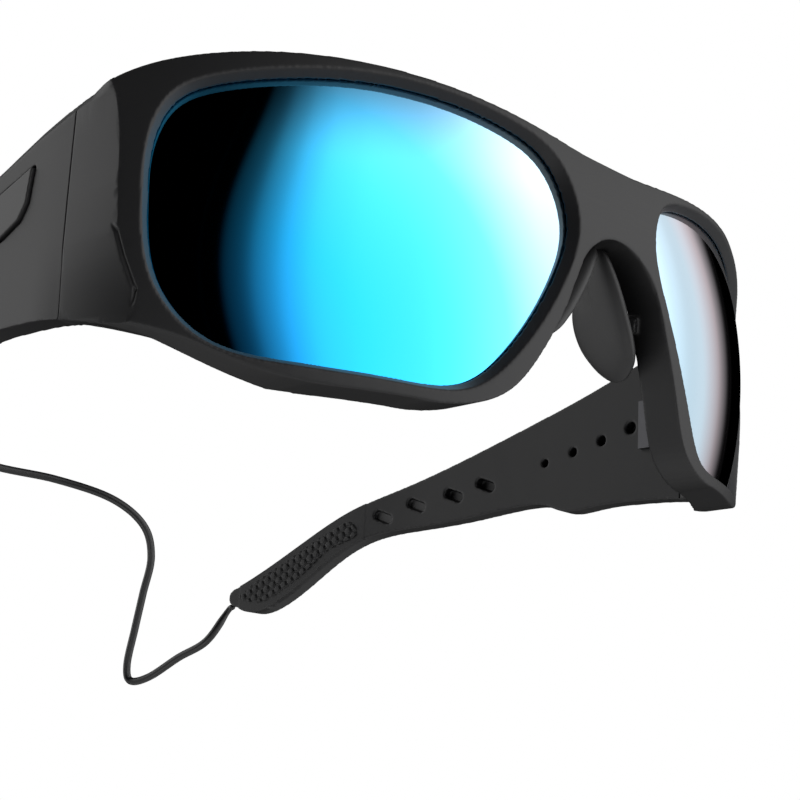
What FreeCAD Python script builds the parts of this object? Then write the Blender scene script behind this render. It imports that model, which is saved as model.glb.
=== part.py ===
"""Wraparound sport sunglasses: front, lenses, hinged temples, grips, badges and neck cord.

Millimetres.  +X is the wearer's left, the lenses face -Y, +Z is up.  The origin is the
foremost point of the bridge, on the plane of symmetry.  Every paired piece is made for
the wearer's left and mirrored in X = 0 for the right.
"""
import FreeCAD, Part
import math
import os
import re
from FreeCAD import Placement, Rotation, Vector

SIZES = [
    ("ball_radius", 70.2, "radius of the ball on which the front face of a lens lies"),
    ("ball_x", 10.4, "sideways place of the centre of that ball"),
    ("ball_y", 70.2, "fore-and-aft place of the centre of that ball"),
    ("lens_tilt", 21.4, "angle in degrees by which a lens turns outwards"),
    ("lens_thickness", 2.0, "thickness of a lens"),
    ("lens_edge", 1.0, "how far a lens reaches into the rim"),
    ("lens_gap", 0.1, "clearance around a lens in its groove"),
    ("rim_proud", 2.0, "how far the rim stands in front of a lens"),
    ("rim_behind", 4.0, "how far the rim reaches behind the lens face"),
    ("opening_start", 0.2, "how far behind the lens plane the straight opening starts"),
    ("opening_back", 22.0, "how far the opening is cut behind a lens"),
    ("groove_back", 16.0, "how far behind the lens plane the curved edge of a lens can lie"),
    ("groove_ahead", 4.0, "how far ahead of the lens plane it is cut"),
    ("bevel_apex", 34.8, "distance behind a lens of the point the bevel aims at"),
    ("bevel_shift", 8.3, "distance of that point towards the temple"),
    ("bevel_back", 12.0, "how far the bevel cutter starts behind the lens plane"),
    ("bevel_ahead", 8.0, "how far it reaches ahead of it"),
    ("temple_outer", 66.5, "outer face of a temple from the middle"),
    ("temple_thickness", 3.8, "thickness of a temple"),
    ("hinge_y", 34.0, "hinge axis and parting line"),
    ("parting_gap", 0.3, "gap between the front and a temple"),
    ("hinge_inset", 1.5, "hinge axis inside the inner face of a temple"),
    ("barrel_radius", 1.4, "radius of a hinge barrel"),
    ("barrel_relief", 1.5, "radius of the cut that clears the other leaf's barrels"),
    ("barrel_pitch", 1.8, "height of one barrel with its gap"),
    ("barrel_gap", 0.06, "gap between two barrels"),
    ("screw_radius", 0.7, "radius of a hinge screw"),
    ("screw_bore", 0.75, "radius of the bore in the barrels"),
    ("screw_head", 1.3, "radius of the head of a hinge screw"),
    ("screw_head_height", 0.7, "height of that head"),
    ("driver_slot", 0.45, "width and depth of the slot in that head"),
    ("leaf_thickness", 0.6, "thickness of a hinge leaf"),
    ("leaf_gap", 0.05, "clearance between a leaf and the plastic"),
    ("front_leaf_length", 4.5, "length of the leaf on the front"),
    ("temple_leaf_length", 8.9, "length of the leaf on the temple"),
    ("rivet_radius", 0.5, "radius of a rivet"),
    ("rivet_head", 0.85, "radius of a rivet head"),
    ("rivet_head_height", 0.35, "height of a rivet head"),
    ("rivet_depth", 1.6, "how far a rivet goes into the plastic"),
    ("rivet_gap", 0.02, "clearance around a rivet"),
    ("rivet_rise", 2.7, "height of the rivets above and below the middle"),
    ("front_rivet_back", 2.75, "rivets of the front leaf, ahead of the hinge axis"),
    ("temple_rivet_back", 5.0, "rivets of the temple leaf, behind the hinge axis"),
    ("leaf_room_length", 4.8, "length of the pocket for the front leaf"),
    ("leaf_room_play", 0.2, "clearance of that pocket above and below"),
    ("leaf_play", 0.03, "how much lower a leaf is than its barrels, top and bottom"),
    ("screw_below", 0.2, "how far a screw passes its lowest barrel"),
    ("seat_gap", 0.01, "clearance under a screw or rivet head"),
    ("badge_proud", 0.3, "how far a badge stands off its temple"),
    ("badge_depth", 1.0, "depth of the recess a badge sits in"),
    ("badge_groove", 0.4, "width of the groove around a badge"),
    ("badge_gap", 0.02, "clearance under a badge"),
    ("grip_proud", 0.25, "how far a grip stands off its temple"),
    ("grip_depth", 1.0, "depth of the recess a grip sits in"),
    ("grip_gap", 0.08, "clearance around a grip"),
    ("pad_thickness", 2.2, "thickness of a nose pad"),
    ("pad_length", 19.0, "length of a nose pad"),
    ("pad_width", 9.0, "width of a nose pad"),
    ("pad_post", 1.2, "radius of the post that carries a nose pad"),
    ("pad_post_gap", 0.05, "clearance around that post"),
    ("pad_post_past", 1.2, "how far the post goes into the pad past its middle"),
    ("pad_edge", 0.8, "radius of the round edge of a nose pad"),
    ("pad_taper", 0.16, "how much narrower a pad is at its top, as a share"),
    ("cord_radius", 0.85, "radius of the neck cord"),
    ("cord_gap", 0.6, "gap between a cord end and its plug"),
    ("cord_lead", 1.6, "straight start of the cord"),
    ("plug_radius", 1.1, "radius of the plug in the temple tip"),
    ("plug_length", 3.2, "length of that plug"),
    ("plug_gap", 0.05, "clearance around that plug"),
    ("bore_play", 0.1, "how much deeper a blind bore is than what goes into it"),
]

doc = FreeCAD.newDocument("sport_sunglasses")
sheet = doc.addObject("Spreadsheet::Sheet", "sizes")
for row, (alias, value, note) in enumerate(SIZES, start=1):
    sheet.set("A%d" % row, note)
    sheet.set("B%d" % row, str(value))
    sheet.setAlias("B%d" % row, alias)
doc.recompute()


def size(alias):
    """One value from the sheet, in millimetres or degrees."""
    return float(sheet.get(alias))


REACH = 200.0           # longer than the object: used where a cutter only has to be big enough
WELL_PAST = 2.0         # how far a cutter starts outside the surface it goes into
SIDE_VIEW_X = 40.0      # a plane inside the left temple, on which its outlines are drawn
FRONT_Y = -6.0          # a plane in front of everything
BALL_R = size("ball_radius")
TILT = math.radians(size("lens_tilt"))
OUTER_X = size("temple_outer")
INNER_X = OUTER_X - size("temple_thickness")
HINGE_X = INNER_X - size("hinge_inset")
HINGE_Y = size("hinge_y")
FRONT_END = HINGE_Y - size("parting_gap") / 2
TEMPLE_START = HINGE_Y + size("parting_gap") / 2


# ---------------------------------------------------------------- curves and outlines

def spline(points, closed=False):
    """A smooth edge through the points."""
    curve = Part.BSplineCurve()
    curve.interpolate(Points=points, PeriodicFlag=closed)
    return curve.toShape()


def xz(points, y=0.0):
    return [Vector(x, y, z) for x, z in points]


def yz(points, x=0.0):
    return [Vector(x, y, z) for y, z in points]


def loop(edges):
    """A closed wire: straight edges join the ends of the given curves."""
    parts = []
    for index, edge in enumerate(edges):
        following = edges[(index + 1) % len(edges)]
        parts.append(edge)
        end = edge.valueAt(edge.LastParameter)
        start = following.valueAt(following.FirstParameter)
        if end.distanceToPoint(start) > 1e-6:
            parts.append(Part.makeLine(end, start))
    return Part.Wire(parts)


def grown(points, amount):
    """Points of a smooth clockwise outline, moved outwards by an amount."""
    outline = Part.BSplineCurve()
    outline.interpolate(Points=[Vector(u, v, 0) for u, v in points], PeriodicFlag=True)
    result = []
    for u, v in points:
        along = outline.tangent(outline.parameter(Vector(u, v, 0)))[0]
        result.append((u - along.y * amount, v + along.x * amount))
    return result


# One lens seen along its own axis: across towards the temple, and up.
LENS_OUTLINE = [
    (0, 19.6), (8, 19.1), (15.4, 17.9), (23, 16), (28, 13.2), (30.4, 8), (30.8, -0.3),
    (28.8, -10.6), (22.6, -17), (13, -18.9), (-2, -19.3), (-10.8, -18.2), (-16.8, -12.8),
    (-23.9, -0.9), (-26, 8.6), (-22.8, 15.2), (-15.8, 18.2), (-8, 19.3),
]

# The front seen from ahead, right half: upper edge outwards, then lower edge inwards.
FRONT_TOP = [(0, 18.8), (6, 18.9), (14, 19.7), (27, 21.2), (40, 21.9), (52, 21.1), (58, 19.8), (62, 18.3),
             (65.2, 16.3), (67, 14.8), (70, 12)]
FRONT_BOTTOM_OUTSIDE = [(70, -15.4), (64, -16.2), (58.5, -17.7), (52.5, -20.1), (47, -21.4)]
RIM_REST = (42.0, -21.8)      # outer end of the straight stretch under each rim
RIM_REST_INNER = 32.0         # its inner end
NOSE_ARCH = [(25, -21.3), (19.4, -18.9), (14.2, -11.7), (10.6, -4.2), (6.6, 3.8), (0, 7)]

# A temple seen from the side: (back, up) along its top, round its tip, and forward below.
TEMPLE_TOP = [(27.4, 15.4), (33, 14.6), (42, 12.4), (51, 9.4), (72, 3.2), (90, -1.9), (104, -5.4),
              (116, -8.6), (128, -13.9), (147.6, -23)]
TIP_END = (149.5, -25.2)
TEMPLE_BOTTOM = [(147.2, -27), (141, -28.4), (136, -26.9), (127, -21.9), (117, -16.4), (110, -14.4),
                 (100, -13.6), (85, -12.9), (70, -11.9), (66, -12.3), (61.5, -13.9), (54, -13.9),
                 (44, -13.9), (35, -14.6), (29.5, -15.6), (24, -17.2)]
TEMPLE_SHOULDER = (19.5, 24.0)   # the top line of a temple is carried on to here over the rim

# The inner face of a temple seen from above: (out, back).
TEMPLE_INNER = [(0, 20), (0, 60), (-0.4, 75), (-1.2, 90), (-2.2, 103), (-3.7, 115), (-5.2, 128),
                (-7.7, 149), (-8.1, 152)]


def lens_placement():
    """Puts the lens plane (across, up, forward) at the middle of the left lens."""
    across = Vector(math.cos(TILT), math.sin(TILT), 0)
    forward = Vector(math.sin(TILT), -math.cos(TILT), 0)
    centre = Vector(size("ball_x"), size("ball_y"), 0) + forward * BALL_R
    return Placement(centre, Rotation(across, Vector(0, 0, 1), forward, "ZXY"))


def lens_wire(grow=0.0):
    """The lens outline in its own plane, made larger all round."""
    points = [Vector(s, z, 0) for s, z in grown(LENS_OUTLINE, grow)]
    return Part.Wire(spline(points, closed=True))


def lens_prism(grow, back, ahead):
    """The lens outline pushed along the lens axis, on the left side of the front."""
    prism = Part.Face(lens_wire(grow)).extrude(Vector(0, 0, back + ahead))
    prism.translate(Vector(0, 0, -back))
    prism.Placement = lens_placement().multiply(prism.Placement)
    return prism


def bevel_cone():
    """A cone through the lens outline that opens forwards: the bevel in front of the lens."""
    apex = size("bevel_apex")
    shift = size("bevel_shift")

    def section(height):
        points = []
        for s, z in LENS_OUTLINE:
            depth = BALL_R - math.sqrt(BALL_R ** 2 - s * s - z * z)
            scale = height / (apex - depth)
            points.append(Vector(shift + (s - shift) * scale, z * scale, height - apex))
        return Part.Wire(spline(points, closed=True))

    cone = Part.makeLoft([section(apex - size("bevel_back")), section(apex + size("bevel_ahead"))], True, True)
    cone.Placement = lens_placement()
    return cone


def ball(radius):
    return Part.makeSphere(radius, Vector(size("ball_x"), size("ball_y"), 0))


def capsule(radius):
    """Two balls and the cylinder between them, turned about one axis."""
    cx = size("ball_x")
    cy = size("ball_y")
    half = radius * math.sqrt(0.5)
    left = Part.Arc(Vector(-cx - radius, cy, 0), Vector(-cx - half, cy - half, 0), Vector(-cx, cy - radius, 0))
    right = Part.Arc(Vector(cx, cy - radius, 0), Vector(cx + half, cy - half, 0), Vector(cx + radius, cy, 0))
    face = Part.Face(loop([left.toShape(), right.toShape()]))
    return face.revolve(Vector(0, cy, 0), Vector(1, 0, 0), 360)


def mirrored(points):
    """The points of a right half with their mirror images, from left to right."""
    return [(-x, z) for x, z in reversed(points) if x > 0] + list(points)


def front_prism():
    """Everything inside the outline of the front, seen from ahead."""
    top = spline(xz(mirrored(FRONT_TOP), FRONT_Y))
    rest_x, rest_z = RIM_REST
    side = FRONT_BOTTOM_OUTSIDE + [RIM_REST]
    right_side = spline(xz(side, FRONT_Y))
    right_rest = Part.makeLine(Vector(rest_x, FRONT_Y, rest_z), Vector(RIM_REST_INNER, FRONT_Y, rest_z))
    arch = [(RIM_REST_INNER, rest_z)] + NOSE_ARCH
    nose = spline(xz(arch + [(-x, z) for x, z in reversed(arch) if x > 0], FRONT_Y))
    left_rest = Part.makeLine(Vector(-RIM_REST_INNER, FRONT_Y, rest_z), Vector(-rest_x, FRONT_Y, rest_z))
    left_side = spline(xz([(-x, z) for x, z in reversed(side)], FRONT_Y))
    wire = loop([top, right_side, right_rest, nose, left_rest, left_side])
    return Part.Face(wire).extrude(Vector(0, REACH, 0))


def side_prism():
    """Everything inside the side outline of a temple and of the front ahead of it."""
    top = spline(yz(TEMPLE_TOP))
    tip = Part.Arc(*yz([TEMPLE_TOP[-1], TIP_END, TEMPLE_BOTTOM[0]])).toShape()
    bottom = spline(yz(TEMPLE_BOTTOM))
    corners = [TEMPLE_BOTTOM[-1], (FRONT_Y, -40), (FRONT_Y, 40), TEMPLE_SHOULDER, TEMPLE_TOP[0]]
    ahead = Part.makePolygon(yz(corners))
    wire = Part.Wire([top, tip, bottom] + ahead.Edges)
    return Part.Face(wire).extrude(Vector(REACH, 0, 0))


def plan_slab(inset, depth, first_y, last_y):
    """A slab that follows the inner face of the left temple, from one depth to another."""
    near = spline([Vector(INNER_X + out + inset, y, -60) for out, y in TEMPLE_INNER])
    far = spline([Vector(INNER_X + out + depth, y, -60) for out, y in reversed(TEMPLE_INNER)])
    slab = Part.Face(loop([near, far])).extrude(Vector(0, 0, 120))
    keep = Part.makeBox(REACH, last_y - first_y, 120, Vector(0, first_y, -60))
    return slab.common(keep)


def inner_face_x(y):
    """Where the inner face of the left temple is at a given place along it."""
    for (out, start), (next_out, end) in zip(TEMPLE_INNER, TEMPLE_INNER[1:]):
        if start <= y <= end:
            return INNER_X + out + (next_out - out) * (y - start) / (end - start)
    raise ValueError("no inner face there")


def cylinder(radius, start, end):
    return Part.makeCylinder(radius, (end - start).Length, start, end - start)


def mirror(shape):
    """The wearer's right from the wearer's left."""
    return shape.mirror(Vector(0, 0, 0), Vector(1, 0, 0))


def slab_box(low, high):
    """A box from its lowest corner to its highest."""
    return Part.makeBox(high[0] - low[0], high[1] - low[1], high[2] - low[2], Vector(*low))


def smooth_wire(points, x, grow):
    """A smooth closed outline in the side view (back, up)."""
    return Part.Wire(spline(yz(grown(points, grow), x), closed=True))


def straight_wire(points, x, grow):
    """An outline of straight edges in the side view (back, up)."""
    wire = Part.makePolygon(yz(points + points[:1], x))
    if grow:
        wire = wire.makeOffset2D(grow)
    return wire


# ---------------------------------------------------------------- places on a temple

LEAF_X = INNER_X - size("leaf_gap") - size("leaf_thickness")     # inner face of a hinge leaf
BARRELS = 5
HINGE_BOTTOM = -BARRELS * size("barrel_pitch") / 2
HINGE_TOP = -HINGE_BOTTOM
FRONT_RIVET_Y = HINGE_Y - size("front_rivet_back")
TEMPLE_RIVET_Y = HINGE_Y + size("temple_rivet_back")
PAD_CENTRE = Vector(7.6, 8.1, -1.0)
PAD_ROOT = Vector(9.7, 2.6, -2.0)
PAD_NORMAL = Vector(-0.82, 0.35, -0.45).normalize()
PAD_LONG = Vector(0.45, 0, -0.89)
PAD_POINTS = 12           # points of the smooth outline of a pad
TIP_EXIT = Vector(56.85, 149.1, -25.95)            # where the cord leaves the left temple
CORD_START = Vector(-0.06, 0.86, -0.5).normalize()

# The badge on the outside of a temple: (back, up), tapering backwards.
BADGE_OUTLINE = [(42.4, 7.4), (73, -1.6), (73, -6), (48.5, -1), (44.6, 0.6), (43.1, 2.6)]
# The grip on the inside of a temple tip, a closed curve: (back, up).
GRIP_OUTLINE = [(117, -10.9), (124, -13.6), (134, -18.4), (143, -22.7), (145.8, -25), (141, -26.4),
                (135, -24.8), (127, -20.2), (119, -15.5), (114, -13)]
# Round holes on the inside of a temple: (back, up, radius).
HOLES = [(45.3, 0, 1.13), (52.1, -1.5, 1.02), (58.9, -2.8, 0.9), (65.8, -4.1, 0.79)]
HOLE_DEPTH = 2.4
# Slanted slots behind them: (back, up, depth).
SLOTS = [(80.7, -6.7, 1.8), (88.9, -7.9, 1.6), (98.7, -8.9, 0.9), (107.4, -10.6, 0.7)]
SLOT_RADIUS = 1.0
SLOT_HALF = 1.5
SLOT_SLOPE = math.radians(21)


def add_part(label, shape):
    """A sub-part of the document made from a shape, with its own Placement."""
    part = doc.addObject("Part::Feature", label)
    part.Label = label
    part.Shape = shape
    part.Placement = Placement()
    return part


def add_mirror(source, label):
    """The right-hand twin of a left-hand sub-part."""
    twin = doc.addObject("Part::Mirroring", label)
    twin.Label = label
    twin.Source = source
    twin.Base = Vector(0, 0, 0)
    twin.Normal = Vector(1, 0, 0)
    return twin


def add_pair(name, shape):
    left = add_part(name + "_left", shape)
    return [left, add_mirror(left, name + "_right")]


def bound(kind, label, place, **sizes):
    """A Part primitive whose measures follow the sheet: each is an expression of its aliases."""
    piece = doc.addObject("Part::" + kind, label)
    piece.Label = label
    piece.Placement = place
    for measure, expression in sizes.items():
        for alias, _, _ in SIZES:
            expression = re.sub(r"\b%s\b" % alias, "sizes." + alias, expression)
        piece.setExpression(measure, expression)
    return piece


def joined(label, pieces):
    """One solid from several pieces."""
    union = doc.addObject("Part::MultiFuse", label)
    union.Label = label
    union.Shapes = pieces
    union.Refine = True
    return union


def less(label, piece, cutter):
    """A piece with another cut out of it."""
    rest = doc.addObject("Part::Cut", label)
    rest.Label = label
    rest.Base = piece
    rest.Tool = cutter
    return rest


def shared(label, first, second):
    """What two pieces have in common."""
    common = doc.addObject("Part::Common", label)
    common.Label = label
    common.Base = first
    common.Tool = second
    return common


def with_twin(left):
    """A left-hand sub-part and its right-hand twin."""
    return [left, add_mirror(left, left.Label.replace("_left", "_right"))]


def upright(x, y, z):
    """A place with its axis up."""
    return Placement(Vector(x, y, z), Rotation())


def outwards(x, y, z):
    """A place with its axis towards the wearer's left."""
    return Placement(Vector(x, y, z), Rotation(Vector(0, 1, 0), 90))


# ---------------------------------------------------------------- front and lenses

def pad_post(radius, past):
    """The round post from the back of the rim to the nose pad."""
    reach = PAD_CENTRE - PAD_ROOT
    return cylinder(radius, PAD_ROOT, PAD_CENTRE + reach.normalize() * past)


def lens_pocket():
    """What the front loses for the left lens: the opening, the bevel and the groove."""
    groove = ball(BALL_R + size("lens_gap")).cut(ball(BALL_R - size("lens_thickness") - size("lens_gap")))
    wide = size("lens_edge") + size("lens_gap")
    groove = groove.common(lens_prism(wide, size("groove_back"), size("groove_ahead")))
    opening = lens_prism(0, size("opening_back"), -size("opening_start"))
    ahead = bevel_cone().cut(ball(BALL_R))
    return [opening, ahead, groove]


def lens():
    """A shell between two balls, cut to the lens outline."""
    centre = upright(size("ball_x"), size("ball_y"), 0)
    face = bound("Sphere", "lens_face_ball", centre, Radius="ball_radius")
    back = bound("Sphere", "lens_back_ball", centre, Radius="ball_radius - lens_thickness")
    outline = add_part("lens_outline", lens_wire(size("lens_edge")))
    outline.Placement = lens_placement()
    prism = doc.addObject("Part::Extrusion", "lens_prism")
    prism.Base = outline
    prism.DirMode = "Custom"
    prism.Dir = lens_placement().Rotation.multVec(Vector(0, 0, 1))
    prism.Solid = True
    prism.setExpression("LengthFwd", "sizes.groove_ahead")
    prism.setExpression("LengthRev", "sizes.groove_back")
    return shared("lens_left", less("lens_shell", face, back), prism)


def frame_blank():
    """The front without its openings: the rims, the bridge and the ends of the temples."""
    outer = capsule(BALL_R + size("rim_proud"))
    inner = capsule(BALL_R - size("rim_behind"))
    space = slab_box((-OUTER_X, FRONT_Y, -50), (OUTER_X, FRONT_END, 50))
    end = slab_box((INNER_X, 20, -50), (OUTER_X, FRONT_END, 50)).common(outer)
    blank = outer.cut(inner).common(space).fuse([end, mirror(end)])
    side = side_prism()
    side.translate(Vector(-REACH / 2, 0, 0))
    return blank.common(front_prism()).common(side).removeSplitter()


def rivet_bores(y, depth):
    bores = []
    for z in (-size("rivet_rise"), size("rivet_rise")):
        start = Vector(LEAF_X - WELL_PAST, y, z)
        end = Vector(INNER_X + depth, y, z)
        bores.append(cylinder(size("rivet_radius") + size("rivet_gap"), start, end))
    return bores


def frame_front():
    frame = frame_blank()
    pockets = lens_pocket()
    posts = pad_post(size("pad_post"), size("pad_post_past"))
    frame = frame.fuse([posts, mirror(posts)])
    play = size("leaf_room_play")
    low = (LEAF_X - WELL_PAST, HINGE_Y - size("leaf_room_length"), HINGE_BOTTOM - play)
    leaf_room = slab_box(low, (INNER_X, HINGE_Y, HINGE_TOP + play))
    cutters = pockets + [leaf_room] + rivet_bores(FRONT_RIVET_Y, size("rivet_depth") + size("bore_play"))
    return frame.cut(cutters + [mirror(cutter) for cutter in cutters]).removeSplitter()


def nose_pad():
    """A rubber wing: a long rounded plate, pushed onto its post."""
    across = PAD_NORMAL.cross(PAD_LONG).normalize()
    half_length = size("pad_length") / 2
    half_width = size("pad_width") / 2
    outline = []
    for step in range(PAD_POINTS):
        turn = 2 * math.pi * step / PAD_POINTS
        taper = 1 - size("pad_taper") * math.sin(turn)
        outline.append(Vector(half_width * taper * math.cos(turn), half_length * math.sin(turn), 0))
    plate = Part.Face(Part.Wire(spline(outline, closed=True))).extrude(Vector(0, 0, size("pad_thickness")))
    plate.translate(Vector(0, 0, -size("pad_thickness") / 2))
    plate = plate.makeFillet(size("pad_edge"), plate.Edges)
    normal = PAD_NORMAL
    long_way = normal.cross(across) * -1
    plate.Placement = Placement(PAD_CENTRE, Rotation(across * -1, long_way, normal, "ZXY"))
    gap = size("pad_post_gap")
    return plate.cut([pad_post(size("pad_post") + gap, size("pad_post_past") + gap)])


# ---------------------------------------------------------------- temples

def temple_blank():
    """The left temple behind the parting line, without its cuts."""
    slab = plan_slab(0, size("temple_thickness"), TEMPLE_START, REACH)
    return slab.common(side_prism()).removeSplitter()


def temple_layer(wire, first, last):
    """What an outline, pushed sideways, takes out of a layer along the inner face of the temple."""
    prism = Part.Face(wire).extrude(Vector(OUTER_X - SIDE_VIEW_X + WELL_PAST, 0, 0))
    return prism.common(plan_slab(first, last, TEMPLE_START, REACH))


def slot_cutter(y, z, depth):
    """A slanted slot, its upper end towards the tip."""
    step = Vector(0, math.cos(SLOT_SLOPE) * SLOT_HALF, math.sin(SLOT_SLOPE) * SLOT_HALF)
    x = inner_face_x(y)
    ends = []
    start = Vector(x - WELL_PAST, y, z)
    for end in (start - step, start + step):
        ends.append(cylinder(SLOT_RADIUS, end, end + Vector(WELL_PAST + depth, 0, 0)))
    low = (x - WELL_PAST, y - SLOT_HALF, z - SLOT_RADIUS)
    middle = slab_box(low, (x + depth, y + SLOT_HALF, z + SLOT_RADIUS))
    middle.rotate(Vector(x, y, z), Vector(1, 0, 0), math.degrees(SLOT_SLOPE))
    return ends[0].fuse([ends[1], middle]).removeSplitter()


def temple_arm():
    arm = temple_blank()
    thick = size("temple_thickness")
    cutters = []
    for y, z, radius in HOLES:
        start = Vector(INNER_X - WELL_PAST, y, z)
        cutters.append(cylinder(radius, start, Vector(inner_face_x(y) + HOLE_DEPTH, y, z)))
    for y, z, depth in SLOTS:
        cutters.append(slot_cutter(y, z, depth))
    cutters += rivet_bores(TEMPLE_RIVET_Y, size("rivet_depth") + size("bore_play"))
    badge_room = straight_wire(BADGE_OUTLINE, SIDE_VIEW_X, size("badge_groove"))
    cutters.append(temple_layer(badge_room, thick - size("badge_depth"), thick + WELL_PAST))
    grip_room = smooth_wire(GRIP_OUTLINE, SIDE_VIEW_X, size("grip_gap"))
    cutters.append(temple_layer(grip_room, -WELL_PAST, size("grip_depth") + size("grip_gap")))
    plug_end = TIP_EXIT + CORD_START * WELL_PAST
    plug_start = TIP_EXIT - CORD_START * (size("plug_length") + size("bore_play"))
    cutters.append(cylinder(size("plug_radius") + size("plug_gap"), plug_start, plug_end))
    return arm.cut(cutters).removeSplitter()


def badge():
    thick = size("temple_thickness")
    wire = straight_wire(BADGE_OUTLINE, SIDE_VIEW_X, 0)
    return temple_layer(wire, thick - size("badge_depth") + size("badge_gap"), thick + size("badge_proud"))


def grip():
    wire = smooth_wire(GRIP_OUTLINE, SIDE_VIEW_X, 0)
    return temple_layer(wire, -size("grip_proud"), size("grip_depth"))


# ---------------------------------------------------------------- hinges

def hinge_leaf(name, first_y, length, own, rivet_y):
    """A leaf with its own barrels, cut away around the barrels of the other leaf."""
    base = upright(LEAF_X, first_y, HINGE_BOTTOM + size("leaf_play"))
    tall = "%d * barrel_pitch - 2 * leaf_play" % BARRELS
    plate = bound("Box", name + "_plate", base, Length="leaf_thickness", Width=length, Height=tall)
    cutters = []
    barrels = []
    for index in range(BARRELS):
        low = HINGE_BOTTOM + index * size("barrel_pitch")
        half_gap = size("barrel_gap") / 2
        label = "%s_%d" % (name, index)
        if index in own:
            place = upright(HINGE_X, HINGE_Y, low + half_gap)
            tall = "barrel_pitch - barrel_gap"
            barrels.append(bound("Cylinder", label, place, Radius="barrel_radius", Height=tall))
        else:
            place = upright(HINGE_X, HINGE_Y, low - half_gap)
            tall = "barrel_pitch + barrel_gap"
            cutters.append(bound("Cylinder", label, place, Radius="barrel_relief", Height=tall))
    open_plate = less(name + "_open_plate", plate, joined(name + "_relief", cutters))
    leaf = joined(name + "_solid", [open_plate] + barrels)
    through = upright(HINGE_X, HINGE_Y, HINGE_BOTTOM - WELL_PAST)
    tall = "%d * barrel_pitch + %g" % (BARRELS, 2 * WELL_PAST)
    bores = [bound("Cylinder", name + "_bore", through, Radius="screw_bore", Height=tall)]
    for sign in (-1, 1):
        place = outwards(LEAF_X - WELL_PAST, rivet_y, sign * size("rivet_rise"))
        label = "%s_rivet_bore_%d" % (name, sign + 1)
        reach = "leaf_thickness + %g" % (2 * WELL_PAST)
        bores.append(bound("Cylinder", label, place, Radius="rivet_radius + rivet_gap", Height=reach))
    return less(name + "_left", leaf, joined(name + "_bores", bores))


def front_leaf():
    first = HINGE_Y - size("front_leaf_length")
    length = "front_leaf_length - parting_gap / 2"
    return hinge_leaf("hinge_front_leaf", first, length, (0, 2, 4), FRONT_RIVET_Y)


def temple_leaf():
    length = "temple_leaf_length - parting_gap / 2"
    return hinge_leaf("hinge_temple_leaf", TEMPLE_START, length, (1, 3), TEMPLE_RIVET_Y)


def hinge_screw():
    """A slotted screw that is the pin of the hinge."""
    below = size("screw_below")
    shank_tall = "%d * barrel_pitch + screw_below + seat_gap" % BARRELS
    shank = bound("Cylinder", "screw_shank", upright(HINGE_X, HINGE_Y, HINGE_BOTTOM - below),
                  Radius="screw_radius", Height=shank_tall)
    seat = HINGE_TOP + size("seat_gap")
    head = bound("Cylinder", "screw_head", upright(HINGE_X, HINGE_Y, seat),
                 Radius="screw_head", Height="screw_head_height")
    width = size("driver_slot")
    reach = size("screw_head") + WELL_PAST
    corner = upright(HINGE_X - width / 2, HINGE_Y - reach, seat + size("screw_head_height") - width)
    across = "2 * screw_head + %g" % (2 * WELL_PAST)
    slot = bound("Box", "screw_slot", corner, Length="driver_slot", Width=across, Height="2 * driver_slot")
    return less("hinge_screw_left", joined("screw_blank", [shank, head]), slot)


def rivet(name, y, z):
    """A headed rivet through a leaf into the plastic."""
    seat = LEAF_X - size("seat_gap")
    shank = bound("Cylinder", name + "_shank", outwards(seat, y, z), Radius="rivet_radius",
                  Height="rivet_depth + leaf_gap + leaf_thickness + seat_gap")
    under = outwards(seat - size("rivet_head_height"), y, z)
    head = bound("Cylinder", name + "_head", under, Radius="rivet_head", Height="rivet_head_height")
    return joined(name + "_left", [shank, head])


# ---------------------------------------------------------------- cord

# The path of each half of the cord, from its temple tip to the middle behind the head.  The
# left half hangs in a loop and the right half is carried higher, so that either half can
# swing past the other.  The points of the right half are given on the left.
CORD_PATH_LEFT = [(55, 156.4, -34), (53.6, 164.2, -37.4), (52.2, 172.4, -41.4), (51, 177.8, -42.2),
                  (50, 178.2, -38.6), (49, 175, -31), (48, 171.6, -23.2), (46.8, 168, -15.4),
                  (43.4, 167.2, -8.8), (36.6, 170.4, -3.6), (26, 176.8, -0.4), (13, 182.2, 1), (0.3, 184, 4)]
CORD_PATH_RIGHT = [(55, 156.4, -34), (55.5, 162.5, -35), (57.5, 167.5, -30), (58.8, 170, -21), (58.5, 171.5, -12),
                   (56, 173.5, -3), (51, 175.5, 5), (43, 177.7, 10.5), (31, 180.3, 12), (16, 182.8, 9), (0.3, 184, 4)]
CORD_STATIONS = 40          # straight lengths, mitred together, that follow the smooth path
MITRED = 1


def cord_plug():
    """A rubber plug that closes the bore in the temple tip."""
    place = Placement(TIP_EXIT - CORD_START * size("plug_length"), Rotation(Vector(0, 0, 1), CORD_START))
    return bound("Cylinder", "cord_plug_left", place, Radius="plug_radius", Height="plug_length")


def cord_half(route):
    """Half of the cord, with a round end that turns in front of its plug."""
    pivot = TIP_EXIT + CORD_START * (size("cord_gap") + size("cord_radius"))
    points = [pivot, pivot + CORD_START * size("cord_lead")] + [Vector(*point) for point in route]
    path = Part.BSplineCurve()
    path.interpolate(Points=points)
    stations = path.discretize(Number=CORD_STATIONS)
    ring = Part.Wire(Part.makeCircle(size("cord_radius"), pivot, stations[1] - stations[0]))
    pipe = Part.makePolygon(stations).makePipeShell([ring], True, False, MITRED)
    return pipe.fuse([Part.makeSphere(size("cord_radius"), pivot)])


# ---------------------------------------------------------------- the document

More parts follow.
